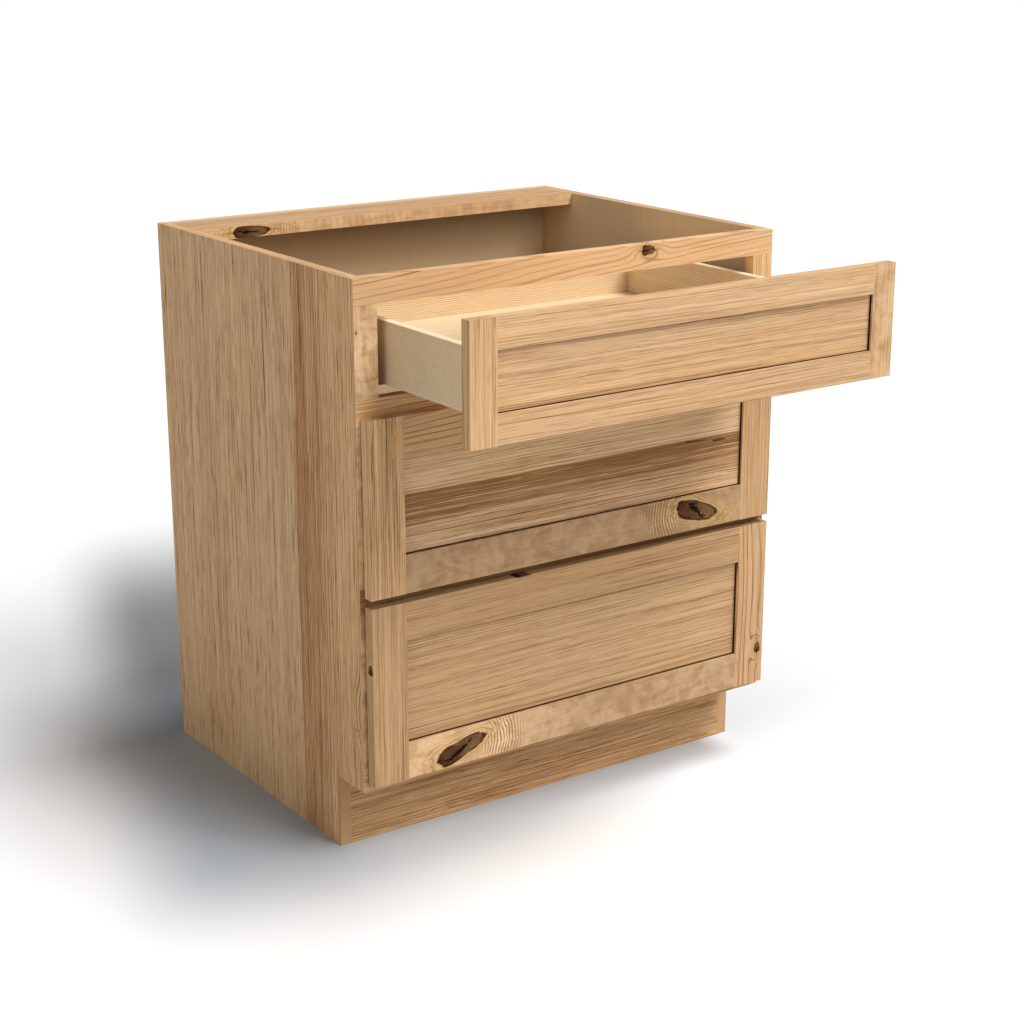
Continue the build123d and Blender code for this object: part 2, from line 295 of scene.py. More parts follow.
@dataclass
class WoodEffects:
    """The node groups that all the wood shares."""

    log_bend: Stretch = (1.5, 6, 6)
    log_sway: Stretch = (2.3, 9, 9)
    ring_jitter: Stretch = (11, 70, 70)
    fibre_bend: Stretch = (14, 38, 38)
    broad_streak: Stretch = (1.4, 90, 90)
    fine_streak: Stretch = (3.6, 480, 480)
    short_pore: Stretch = (26, 900, 900)
    long_line: Stretch = (1.8, 190, 190)
    line_patch: Stretch = (7, 75, 75)
    needle_mark: Stretch = (13, 330, 330)
    curl_cloud: Stretch = (21, 30, 30)
    curl_veil: Stretch = (70, 26, 26)
    knot_pinch: float = 0.22
    knot_bluntness: float = 2.6
    knot_reach: float = 2.4
    knot_ring_rate: float = 20.0
    crack_taper: float = -0.10
    figure: EffectGroup = field(init=False)
    fibre: EffectGroup = field(init=False)
    curl: EffectGroup = field(init=False)
    heart: EffectGroup = field(init=False)
    knot: EffectGroup = field(init=False)
    ripple: EffectGroup = field(init=False)
    board: EffectGroup = field(init=False)
    plies: EffectGroup = field(init=False)

    def __post_init__(self) -> None:
        """Build every group."""
        self.figure = self.build_figure()
        self.fibre = self.build_fibre()
        self.curl = self.build_curl()
        self.heart = self.build_heart()
        self.knot = self.build_knot()
        self.ripple = self.build_ripple()
        self.board = self.build_board()
        self.plies = self.build_plies()

    def build_figure(self) -> EffectGroup:
        """Growth rings of a tapering, wandering log, cut by the board's own faces."""
        takes = {SocketKind.VALUE: LOG_VALUES}
        group = EffectGroup("wood_figure", takes, {SocketKind.VALUE: ("Ring", "Band")})
        b, given = group.bench, group.inputs
        along, across, deep = b.split(given["Place"])
        place = seeded(group)
        depth = b.plus(b.times_plus(along, given["Taper"], given["Heart Depth"]), deep)
        depth = b.plus(depth, b.drift(place, self.log_bend, given["Wander"]))
        side = b.minus(b.times_plus(along, given["Slant"], across), given["Heart Across"])
        side = b.plus(side, b.drift(place, self.log_sway, given["Wander"]))
        radius = b.math("SQRT", b.plus(b.times(depth, depth), b.times(side, side)))
        radius = b.plus(radius, b.drift(place, self.ring_jitter, 0.6 * MILLIMETRE, 2.0))
        rings = b.plus(b.math("DIVIDE", radius, given["Ring Gap"]), given["Push"])
        uneven = b.join(b.times(rings, 0.37), given["Seed"], 0.0)
        rings = b.plus(rings, b.drift(uneven, (1, 1, 1), 0.8))
        turn = b.math("FRACT", rings)
        late = b.times(b.step(turn, 0.60, 0.94), b.step(turn, 1.0, 0.96))
        number = b.plus(b.math("FLOOR", rings), given["Seed"])
        each = b.add("ShaderNodeTexWhiteNoise", {"W": number}, noise_dimensions="1D").outputs[0]
        group.give("Ring", b.times(late, b.times_plus(each, 0.8, 0.2)))
        broad = b.join(b.times(rings, 0.19), given["Seed"], 0.0)
        group.give("Band", b.noise(broad, (1, 1, 1), 2.0))
        return group

    def build_fibre(self) -> EffectGroup:
        """Streaks from broad to fine, thin dark lines and short pores, and long dark needle marks."""
        group = EffectGroup("wood_fibre", {}, {SocketKind.VALUE: ("Streak", "Pore", "Needle")})
        b = group.bench
        place = seeded(group)
        bend = b.drift(place, self.fibre_bend, 1.0 * MILLIMETRE, 2.0)
        place = b.vector("ADD", place, b.join(0.0, bend, bend))
        broad = b.noise(place, self.broad_streak, 2.0, 0.6)
        fine = b.noise(place, self.fine_streak, 2.0, 0.8)
        group.give("Streak", b.times_plus(fine, 0.7, b.times(broad, 0.3)))
        short = b.step(b.noise(place, self.short_pore, 0.0), 0.58, 0.74)
        level = b.math("ABSOLUTE", b.minus(b.noise(place, self.long_line, 1.0, 0.5), 0.5))
        shown = b.step(b.noise(place, self.line_patch, 2.0), 0.36, 0.62)
        line = b.times(b.step(level, 0.024, 0.005), shown)
        group.give("Pore", b.math("MAXIMUM", line, b.times(short, 0.55)))
        group.give("Needle", b.step(b.noise(place, self.needle_mark, 0.0), 0.70, 0.80))
        return group

    def build_curl(self) -> EffectGroup:
        """Cloudy swirls and soft bands across the grain, as in figured sapwood."""
        group = EffectGroup("wood_curl", {}, {SocketKind.VALUE: ("Curl",)})
        b = group.bench
        place = seeded(group)
        cloud = b.noise(place, self.curl_cloud, 3.0, 0.55, 1.3)
        veil = b.noise(place, self.curl_veil, 2.0, 0.5, 0.6)
        group.give("Curl", b.step(b.times_plus(veil, 0.35, b.times(cloud, 0.65)), 0.36, 0.64))
        return group

    def build_heart(self) -> EffectGroup:
        """A band of dark heartwood, sharp along one edge and fading away from it."""
        takes = {SocketKind.VALUE: ("Edge", "Fade")}
        group = EffectGroup("heartwood_band", takes, {SocketKind.VALUE: ("Band",)})
        b, given = group.bench, group.inputs
        across = b.split(given["Place"])[1]
        place = seeded(group)
        edge = b.plus(given["Edge"], b.drift(place, (3.0, 0.1, 0.1), 3.2 * MILLIMETRE, 2.0))
        depth = b.math("DIVIDE", b.minus(across, edge), given["Fade"])
        inside = b.step(depth, -0.015, 0.02)
        fading = b.step(b.plus(depth, b.drift(place, (5, 130, 130), 0.2, 3.0)), 1.1, 0.0)
        group.give("Band", b.times(inside, fading))
        return group

    def build_knot(self) -> EffectGroup:
        """An oval knot: how it pushes the rings aside, its core, rim, cracks, halo and tail."""
        takes = {
            SocketKind.PLACE: ("Centre",),
            SocketKind.VALUE: ("Half Length", "Half Height", "Tilt", "Crack Tilt"),
        }
        labels = ("Push", "Core", "Rim", "Crack", "Halo", "Growth", "Tail", "Side", "Mottle")
        group = EffectGroup("knot", takes, {SocketKind.VALUE: labels})
        b, given = group.bench, group.inputs
        offset = b.vector("SUBTRACT", given["Place"], given["Centre"])
        turned = self.turn(b, offset, given["Tilt"])
        along, across, _ = b.split(turned)
        along = b.math("DIVIDE", along, given["Half Length"])
        across = b.math("DIVIDE", across, given["Half Height"])
        oval = b.join(along, across, given["Seed"])
        pinched = b.times(across, b.times_plus(along, self.knot_pinch, 1.0))
        ways = [b.math("ABSOLUTE", along), b.math("ABSOLUTE", pinched)]
        powers = [b.math("POWER", way, self.knot_bluntness) for way in ways]
        distance = b.math("POWER", b.plus(*powers), 1.0 / self.knot_bluntness)
        distance = b.plus(distance, b.drift(oval, (1.3, 1.3, 1), 0.16, 4.0))
        wide = b.length(b.join(b.times(along, 0.42), b.times(across, 0.55), 0.0))
        group.give("Push", b.math("EXPONENT", b.times(b.times(wide, wide), -1.0)))
        group.give("Core", b.step(distance, 1.05, 0.95))
        thick = b.times_plus(b.noise(oval, (1.5, 1.5, 1), 2.0), 1.1, 0.25)
        rim = b.times(b.step(distance, thick, 1.02), b.step(distance, 1.1, 1.0))
        group.give("Rim", rim)
        split_line = self.turn(b, oval, given["Crack Tilt"])
        run, off, _ = b.split(split_line)
        jagged = b.drift(split_line, (1.5, 0.9, 1), 0.20, 3.0)
        width = b.times_plus(b.noise(split_line, (2.4, 1.5, 1), 3.0, 0.7), 0.9, -0.36)
        width = b.times_plus(run, self.crack_taper, width)
        crack = b.step(b.minus(b.math("ABSOLUTE", b.plus(off, jagged)), width), 0.07, -0.03)
        crack = b.times(crack, b.step(b.math("ABSOLUTE", run), 1.0, 0.7))
        splinter = b.step(b.noise(split_line, (2.6, 9.0, 1), 2.0), 0.54, 0.62)
        splinter = b.times(splinter, b.step(b.math("ABSOLUTE", off), 0.7, 0.2))
        crack = b.math("MAXIMUM", crack, b.times(splinter, 0.75))
        group.give("Crack", b.times(crack, b.step(distance, 1.0, 0.8)))
        near = b.step(distance, self.knot_reach, 0.95)
        group.give("Halo", near)
        bent = b.plus(distance, b.drift(oval, (0.8, 1.6, 1), 0.16, 3.0))
        growth = b.step(b.math("SINE", b.times(bent, self.knot_ring_rate)), 0.1, 1.0)
        group.give("Growth", b.times(b.times(growth, near), b.step(distance, 0.9, 1.15)))
        tail_across = b.math("ABSOLUTE", b.plus(across, b.drift(oval, (1.2, 0.5, 1), 0.35, 2.0)))
        reach = b.step(b.math("ABSOLUTE", along), self.knot_reach, 0.9)
        group.give("Tail", b.times(b.step(tail_across, b.times(reach, 0.45), 0.05), reach))
        group.give("Side", b.step(b.plus(along, b.drift(oval, (1.7, 1.7, 1), 0.3, 2.0)), -0.5, 0.5))
        group.give("Mottle", b.noise(oval, (4.5, 3.0, 1), 4.0, 0.7))
        return group

    @staticmethod
    def turn(bench: Bench, place: Socket, angle: Value) -> Socket:
        """A place turned about the board's depth."""
        inputs = {"Vector": place, "Angle": angle}
        return bench.add("ShaderNodeVectorRotate", inputs, rotation_type="Z_AXIS").outputs[0]

    def build_ripple(self) -> EffectGroup:
        """Fine curved ripples beside a knot, where the fibres turn round it."""
        takes = {SocketKind.PLACE: ("Focus", "Middle"), SocketKind.VALUE: ("Reach", "Gap")}
        group = EffectGroup("knot_ripple", takes, {SocketKind.VALUE: ("Ripple",)})
        b, given = group.bench, group.inputs
        flat = (1.0, 1.0, 0.0)
        place = seeded(group)
        radius = b.length(b.vector("MULTIPLY", b.vector("SUBTRACT", given["Place"], given["Focus"]), flat))
        radius = b.plus(radius, b.drift(place, (62, 62, 0), 2.2 * MILLIMETRE, 3.0))
        wave = b.math("SINE", b.math("DIVIDE", b.times(radius, 2 * math.pi), given["Gap"]))
        away = b.length(b.vector("MULTIPLY", b.vector("SUBTRACT", given["Place"], given["Middle"]), flat))
        inside = b.step(b.math("DIVIDE", away, given["Reach"]), 1.0, 0.25)
        patch = b.step(b.noise(place, (80, 80, 0), 2.0), 0.25, 0.55)
        group.give("Ripple", b.times(b.times(wave, inside), patch))
        return group

    def build_board(self) -> EffectGroup:
        """Board colour, roughness and relief from figure, fibre and curl under matt lacquer."""
        takes = {
            SocketKind.COLOUR: TIMBER_COLOURS,
            SocketKind.VALUE: LOG_VALUES + TIMBER_VALUES + ("Heart", "End Grain"),
        }
        gives = {SocketKind.COLOUR: ("Base Color",), SocketKind.VALUE: ("Roughness", "Height")}
        group = EffectGroup("lacquered_board", takes, gives)
        b, given = group.bench, group.inputs
        shared = {"Place": given["Place"], "Seed": given["Seed"]}
        figure = self.figure.place(b, {**shared, **{name: given[name] for name in LOG_VALUES}})
        fibre = self.fibre.place(b, shared)
        curl = self.curl.place(b, shared)["Curl"]
        ring = b.times(figure["Ring"], given["Ring Strength"])
        streak = b.minus(fibre["Streak"], 0.5)
        heart = given["Heart"]
        tone = b.times_plus(b.minus(figure["Band"], 0.5), given["Band Strength"], MEAN_TONE)
        tone = b.times_plus(streak, b.plus(heart, given["Fibre Strength"]), tone)
        tone = b.times_plus(b.minus(curl, 0.5), given["Curl Strength"], tone)
        tone = b.times_plus(heart, HEART_TONE, b.plus(tone, ring))
        colour = b.mix(b.times(tone, 2.0), given["Pale"], given["Middle"])
        colour = b.mix(b.times_plus(tone, 2.0, -1.0), colour, given["Dark"])
        colour = b.shade(colour, b.times_plus(b.step(tone, 0.9, 1.8), -0.5, 1.0))
        place = seeded(group)
        warm = b.step(b.noise(place, (3, 34, 34), 2.0), 0.35, 0.65)
        colour = b.mix(warm, colour, b.tint(colour, WARM_PATCH))
        pore = b.times(fibre["Pore"], given["Pore Strength"])
        needle = b.times(fibre["Needle"], given["Needle Strength"])
        colour = b.mix(b.math("MAXIMUM", pore, needle), colour, b.tint(colour, PORE_SHADE))
        colour = b.mix(b.times(given["End Grain"], 0.3), colour, given["Dark"])
        group.give("Base Color", colour)
        rough = b.times_plus(streak, 0.16, given["Roughness"])
        group.give("Roughness", b.times_plus(pore, 0.25, rough))
        relief = b.times_plus(ring, -0.35, b.times(streak, 0.5))
        group.give("Height", b.minus(relief, pore))
        return group

    @staticmethod
    def build_plies() -> EffectGroup:
        """Fine even lines along a board, wavering slightly, as on sliced birch plywood."""
        takes = {SocketKind.VALUE: ("Gap",)}
        group = EffectGroup("even_lines", takes, {SocketKind.VALUE: ("Line",)})
        b, given = group.bench, group.inputs
        across = b.split(given["Place"])[1]
        place = seeded(group)
        across = b.plus(across, b.drift(place, (34, 46, 46), 0.9 * MILLIMETRE, 2.0))
        wave = b.math("SINE", b.math("DIVIDE", b.times(across, 2 * math.pi), given["Gap"]))
        strength = b.times_plus(b.noise(place, (12, 160, 160), 2.0), 1.5, 0.1)
        group.give("Line", b.times(wave, strength))
        return group


@dataclass(frozen=True)
class Cut:
    """How a board was sawn from its log: sizes in metres, taper and slant as slopes."""

    ring_gap: float
    heart_depth: float
    heart_across: float
    taper: float
    wander: float
    slant: float = 0.0

    def values(self) -> dict[str, float]:
        """Its values under the names of the node group's inputs."""
        return {label: getattr(self, label.lower().replace(" ", "_")) for label in CUT_VALUES}


@dataclass(frozen=True)
class Timber:
    """The colours of a wood and how strongly each part of its grain shows."""

    pale: Colour
    middle: Colour
    dark: Colour
    band: float = 0.25
    ring: float = 0.35
    fibre: float = 1.6
    pore: float = 0.45
    curl: float = 0.0
    needle: float = 0.12
    roughness: float = 0.56

    def toned(self, red: float, green: float, blue: float) -> "Timber":
        """The same wood with its colours scaled, as by a stain.

        Args:
            red: Factor of its red.
            green: Factor of its green.
            blue: Factor of its blue.

        Returns:
            The stained wood.
        """

        def scaled(colour: Colour) -> Colour:
            """One colour under the stain."""
            return min(colour[0] * red, BRIGHTEST), colour[1] * green, colour[2] * blue, 1.0

        return replace(self, pale=scaled(self.pale), middle=scaled(self.middle), dark=scaled(self.dark))

    def values(self) -> dict[str, Value]:
        """Its values under the names of the node group's inputs."""
        labels = TIMBER_COLOURS + TIMBER_VALUES
        return {label: getattr(self, label.removesuffix(" Strength").lower()) for label in labels}


@dataclass(frozen=True)
class Knot:
    """A knot, by its place on the board's face in the row frame and its half sizes, in metres."""

    along: float
    across: float
    half_length: float
    half_height: float
    tilt: float = 0.0
    crack_tilt: float = 20.0
    push: float = 2.6
    core: float = 1.0
    crack: float = 1.0
    halo: float = 0.55
    growth: float = 1.0
    tail: float = 0.0


@dataclass(frozen=True)
class KnotLook:
    """The colours and shades that every knot shares."""

    reddish: Colour = stain(98, 62, 36)
    greyish: Colour = stain(128, 96, 62)
    rim: Colour = stain(56, 32, 17)
    halo: Colour = stain(228, 180, 116)
    crack: Colour = stain(18, 11, 8)
    tail: Colour = stain(132, 88, 56)
    ring_shade: float = -0.42
    mottle: tuple[float, float] = (2.2, -0.1)
    crack_depth: float = -2.5


@dataclass(frozen=True)
class Ripple:
    """Ripples round a focus, strongest at a middle, all in the row frame on the board's face."""

    focus_along: float
    focus_across: float
    along: float
    across: float
    reach: float
    gap: float = 0.0055
    strength: float = 0.6


@dataclass(frozen=True)
class Heart:
    """A band of dark heartwood: its sharp edge across the board, and how far it fades, by sign."""

    edge: float
    fade: float
    share: float = 1.0


RIFT = Cut(0.0044, 0.12, 0.34, 0.015, 0.008)
STRAIGHT = Cut(0.0034, 0.05, 0.42, 0.008, 0.004)
FLAT = Cut(0.0075, 0.09, 0.02, 0.05, 0.016)
LINED = Cut(0.0095, 0.10, 0.20, 0.03, 0.02)
SLOPING = Cut(0.0085, 0.05, 0.30, 0.02, 0.012, -0.085)

HICKORY = Timber(stain(240, 202, 156), stain(221, 179, 134), stain(158, 112, 70), fibre=2.3)
BROWN_HICKORY = Timber(stain(222, 180, 136), stain(196, 152, 108), stain(130, 88, 52), fibre=2.6)
SAPWOOD = Timber(
    stain(244, 208, 163), stain(222, 181, 136), stain(178, 134, 92),
    band=0.1, ring=0.1, fibre=0.8, pore=0.15, curl=0.42, needle=0.05,
)
BIRCH = Timber(
    stain(240, 217, 180), stain(228, 203, 166), stain(196, 164, 125),
    band=0.1, ring=0.15, fibre=0.8, pore=0.0, curl=0.1, needle=0.0,
)
INTERIOR = Timber(
    stain(226, 202, 166), stain(216, 190, 152), stain(186, 156, 118),
    band=0.1, ring=0.1, fibre=0.6, pore=0.1, curl=0.0, needle=0.05,
)


@dataclass(frozen=True)
class BoardFinish:
    """Everything about one board's look."""

    grain: Grain
    timber: Timber
    cut: Cut
    seed: float
    knots: tuple[Knot, ...] = ()
    ripples: tuple[Ripple, ...] = ()
    hearts: tuple[Heart, ...] = ()
    # Colour factors at a board's two ends; on the back's inner face and the drawer boxes' left sides they
    # are painted shade.
    ends: tuple[float, float] = (1.0, 1.0)
    ends_at: tuple[float, float] = (0.1, 0.6)
    line_gap: Optional[float] = None
    line_strength: float = 0.0


class BoardSpace:
    """Places on one board: along, across and deep from its middle, in metres."""

    def __init__(self, bench: Bench, row_place: Socket, board: str, grain: Grain) -> None:
        """Lay the board's own axes over the row frame.

        Args:
            bench: The bench of the material's tree.
            row_place: The place in the row frame.
            board: The node that the board is.
            grain: How its fibres run.
        """
        self.low, self.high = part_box(board)
        self.middle = middle_of(board)
        self.along_axis, self.across_axis, _ = grain.value
        parts = bench.split(bench.vector("SUBTRACT", row_place, tuple(self.middle)))
        self.place = bench.join(*(parts[axis] for axis in grain.value))

    def spot(self, along: float, across: float) -> tuple[float, float, float]:
        """A row-frame place on the board's face, as a place on the board."""
        return along - self.middle[self.along_axis], self.from_middle(across), 0.0

    def from_middle(self, across: float) -> float:
        """A row-frame height or width, counted across the board from its middle."""
        return across - self.middle[self.across_axis]

    def span(self) -> float:
        """The board's length."""
        return self.high[self.along_axis] - self.low[self.along_axis]


class BoardPainter:
    """Writes the finish of one board, or of several in one, into a material."""

    gloss = 0.04
    end_grain = (0.75, 0.95)

    def __init__(self, effects: WoodEffects, name: str) -> None:
        """Start the material of a piece.

        Args:
            effects: The shared node groups.
            name: Name of the piece, which its material takes too.
        """
        self.effects = effects
        self.name = name
        self.material = bpy.data.materials.new(name)
        self.material.use_nodes = True
        self.bench = Bench(self.material.node_tree)
        self.shader = self.material.node_tree.nodes["Principled BSDF"]
        self.row_place = self.bench.add("ShaderNodeTexCoord", {}).outputs["Object"]
        self.row_parts = self.bench.split(self.row_place)
        normal = self.bench.add("ShaderNodeNewGeometry", {}).outputs["Normal"]
        self.facing = self.bench.split(normal)

    def space(self, board: str, grain: Grain) -> BoardSpace:
        """The space of a board that this material shows."""
        return BoardSpace(self.bench, self.row_place, board, grain)

    def looking(self, way: Facing, starts: float = 0.5, full: float = 0.9) -> Socket:
        """A mask of the faces that look one way.

        Args:
            way: The way.
            starts: How squarely a face has to look that way to count at all, up to 1.
            full: How squarely it has to for it to count in full.

        Returns:
            1 on those faces and 0 on the others.
        """
        axis, sign = way.value
        if sign:
            return self.bench.step(self.facing[axis], sign * starts, sign * full)
        return self.bench.step(self.bench.math("ABSOLUTE", self.facing[axis]), starts, full)

    def paint(self, finish: BoardFinish, board: Optional[str] = None) -> Surface:
        """Work out a board's surface.

        Args:
            finish: The board's look.
            board: The node that the board is, if not the painter's own.

        Returns:
            Its colour, roughness and relief.
        """
        b = self.bench
        space = self.space(board or self.name, finish.grain)
        marks = [self.mark_knot(space, knot, finish.seed + n) for n, knot in enumerate(finish.knots)]
        push: Value = 0.0
        for knot, mark in zip(finish.knots, marks):
            push = b.times_plus(mark["Push"], knot.push, push)
        inputs = {
            "Place": space.place,
            "Seed": finish.seed,
            "Push": push,
            "Heart": self.heartwood(space, finish),
            "End Grain": b.step(b.math("ABSOLUTE", self.facing[space.along_axis]), *self.end_grain),
            **finish.cut.values(),
            **finish.timber.values(),
        }
        painted = self.effects.board.place(b, inputs)
        surface = {label: painted[label] for label in ("Base Color", "Roughness", "Height")}
        surface = self.shade_ends(surface, space, finish)
        if finish.line_gap:
            inputs = {"Place": space.place, "Gap": finish.line_gap, "Seed": finish.seed}
            line = self.effects.plies.place(b, inputs)["Line"]
            surface = self.lit(surface, b.times_plus(line, finish.line_strength, 1.0))
        for ripple in finish.ripples:
            surface = self.draw_ripple(surface, space, ripple, finish.seed)
        for knot, mark in zip(finish.knots, marks):
            surface = self.draw_knot(surface, knot, mark)
        return surface

    def mark_knot(self, space: BoardSpace, knot: Knot, seed: float) -> bpy.types.NodeOutputs:
        """Work out the masks of a knot.

        Args:
            space: The board's space.
            knot: The knot.
            seed: What makes its ragged lines its own.

        Returns:
            The masks, as outputs of the knot's group.
        """
        inputs = {
            "Place": space.place,
            "Centre": space.spot(knot.along, knot.across),
            "Half Length": knot.half_length,
            "Half Height": knot.half_height,
            "Tilt": -math.radians(knot.tilt),
            "Crack Tilt": -math.radians(knot.crack_tilt),
            "Seed": seed,
        }
        return self.effects.knot.place(self.bench, inputs)

    def heartwood(self, space: BoardSpace, finish: BoardFinish) -> Value:
        """Add up the bands of heartwood on a board.

        Args:
            space: The board's space.
            finish: Its look.

        Returns:
            How much of the heartwood's colour shows.
        """
        heart: Value = 0.0
        for number, band in enumerate(finish.hearts):
            edge = space.from_middle(band.edge)
            inputs = {"Place": space.place, "Edge": edge, "Fade": band.fade, "Seed": finish.seed + number}
            group = self.effects.heart.place(self.bench, inputs)
            heart = self.bench.times_plus(group["Band"], band.share, heart)
        return heart

    def shade_ends(self, surface: Surface, space: BoardSpace, finish: BoardFinish) -> Surface:
        """Make a board lighter or darker from one end to the other; on some boards this is painted shade.

        Args:
            surface: Its surface.
            space: Its space.
            finish: Its look, with the shades of its two ends.

        Returns:
            The shaded surface.
        """
        first, last = finish.ends
        if first == last:
            return surface
        b = self.bench
        share = b.times_plus(b.split(space.place)[0], 1 / space.span(), 0.5)
        return self.lit(surface, b.times_plus(b.step(share, *finish.ends_at), last - first, first))

    def draw_ripple(self, surface: Surface, space: BoardSpace, ripple: Ripple, seed: float) -> Surface:
        """Draw the ripples beside a knot.

        Args:
            surface: The surface below.
            space: The board's space.
            ripple: The ripples.
            seed: What makes them the board's own.

        Returns:
            The surface with the ripples in it.
        """
        inputs = {
            "Place": space.place,
            "Focus": space.spot(ripple.focus_along, ripple.focus_across),
            "Middle": space.spot(ripple.along, ripple.across),
            "Reach": ripple.reach,
            "Gap": ripple.gap,
            "Seed": seed,
        }
        wave = self.effects.ripple.place(self.bench, inputs)["Ripple"]
        return self.lit(surface, self.bench.times_plus(wave, ripple.strength, 1.0))

    def draw_knot(self, surface: Surface, knot: Knot, marks: bpy.types.NodeOutputs) -> Surface:
        """Draw a knot on a surface.

        Args:
            surface: The surface below.
            knot: The knot.
            marks: Its masks.

        Returns:
            The surface with the knot in it.
        """
        b, look = self.bench, KnotLook()
        surface = self.stained(b.times(marks["Halo"], knot.halo), surface, look.halo)
        surface = self.lit(surface, b.times_plus(marks["Growth"], look.ring_shade * knot.growth, 1.0))
        surface = self.stained(b.times(marks["Tail"], knot.tail), surface, look.tail)
        core = b.mix(marks["Side"], look.reddish, look.greyish)
        core = b.shade(core, b.times_plus(marks["Mottle"], *look.mottle))
        surface = self.stained(b.times(marks["Core"], knot.core), surface, core)
        surface = self.stained(b.times(marks["Rim"], knot.core), surface, look.rim)
        crack = b.times(marks["Crack"], knot.crack)
        surface = self.stained(crack, surface, look.crack)
        return {**surface, "Height": b.times_plus(crack, look.crack_depth, surface["Height"])}

    def over(self, mask: Socket, below: Surface, above: Surface) -> Surface:
        """Lay one surface over another.

        Args:
            mask: 1 where the upper surface shows and 0 where the lower one does.
            below: The lower surface.
            above: The upper surface.

        Returns:
            The two as one surface.
        """
        b = self.bench
        values = ("Roughness", "Height")
        mixed = {key: b.times_plus(mask, b.minus(above[key], below[key]), below[key]) for key in values}
        return {"Base Color": b.mix(mask, below["Base Color"], above["Base Color"]), **mixed}

    def stained(self, mask: Socket, surface: Surface, colour: Value) -> Surface:
        """A surface with a colour over it where the mask is 1, for real marks and for painted shade."""
        return {**surface, "Base Color": self.bench.mix(mask, surface["Base Color"], colour)}

    def lit(self, surface: Surface, factor: Socket) -> Surface:
        """A surface with its colour made lighter or darker by a factor."""
        return {**surface, "Base Color": self.bench.shade(surface["Base Color"], factor)}

    def finish(self, surface: Surface, relief: float = 0.12) -> bpy.types.Material:
        """Feed the shader.

        Args:
            surface: Colour, roughness and relief.
            relief: Depth of the relief, in millimetres.

        Returns:
            The finished material.
        """
        b = self.bench
        inputs = {"Height": surface["Height"], "Distance": relief * MILLIMETRE, "Strength": 1.0}
        bump = b.add("ShaderNodeBump", inputs)
        b.feed(self.shader.inputs["Base Color"], surface["Base Color"])
        b.feed(self.shader.inputs["Roughness"], surface["Roughness"])
        b.feed(self.shader.inputs["Normal"], bump.outputs[0])
        self.shader.inputs["Specular IOR Level"].default_value = self.gloss
        return self.material


def soften(piece: bpy.types.Object, arris: float) -> None:
    """Weld a node's split corners and take its sharp edges off.

    Args:
        piece: The node's object.
        arris: Width of the eased edge, in metres.
    """
    weld = piece.modifiers.new("welded_corners", "WELD")
    weld.merge_threshold = WELD_REACH
    bevel = piece.modifiers.new("eased_edges", "BEVEL")
    bevel.width = arris
    bevel.segments = 2
    bevel.limit_method = "ANGLE"
    bevel.angle_limit = SHARP_ANGLE
    bevel.harden_normals = True


def dress(node: str, material: bpy.types.Material, arris: float = 0.0) -> None:
    """Give a CAD node its finish.

    Args:
        node: Name of the node.
        material: Its finish.
        arris: Width of its eased edges in metres, or 0 to leave them.
    """
    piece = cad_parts[node]
    piece.data.materials.clear()
    piece.data.materials.append(material)
    if arris:
        soften(piece, arris)
    log.info("%s: %s", node, material.name)


def middle_of(node: str) -> Vector:
    """The middle of a node's box in the row frame."""
    low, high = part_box(node)
    return (low + high) / 2


@dataclass(frozen=True)
class SoftLight:
    """A broad light, by its height, its bearing from the front to the right and its spread.

    These are in degrees, and its strength is how bright it makes a white board that faces it.
    """

    name: str
    height: float
    bearing: float
    spread: float
    strength: float

    def hang(self) -> None:
        """Hang the light."""
        lamp = bpy.data.lights.new(self.name, "SUN")
        lamp.energy = self.strength * math.pi
        lamp.angle = math.radians(self.spread)
        light = bpy.data.objects.new(self.name, lamp)
        height, bearing = math.radians(self.height), math.radians(self.bearing)
        out = math.cos(height)
        towards = Vector((out * math.sin(bearing), -out * math.cos(bearing), math.sin(height)))
        light.rotation_euler = towards.to_track_quat("Z", "Y").to_euler()
        bpy.context.scene.collection.objects.link(light)


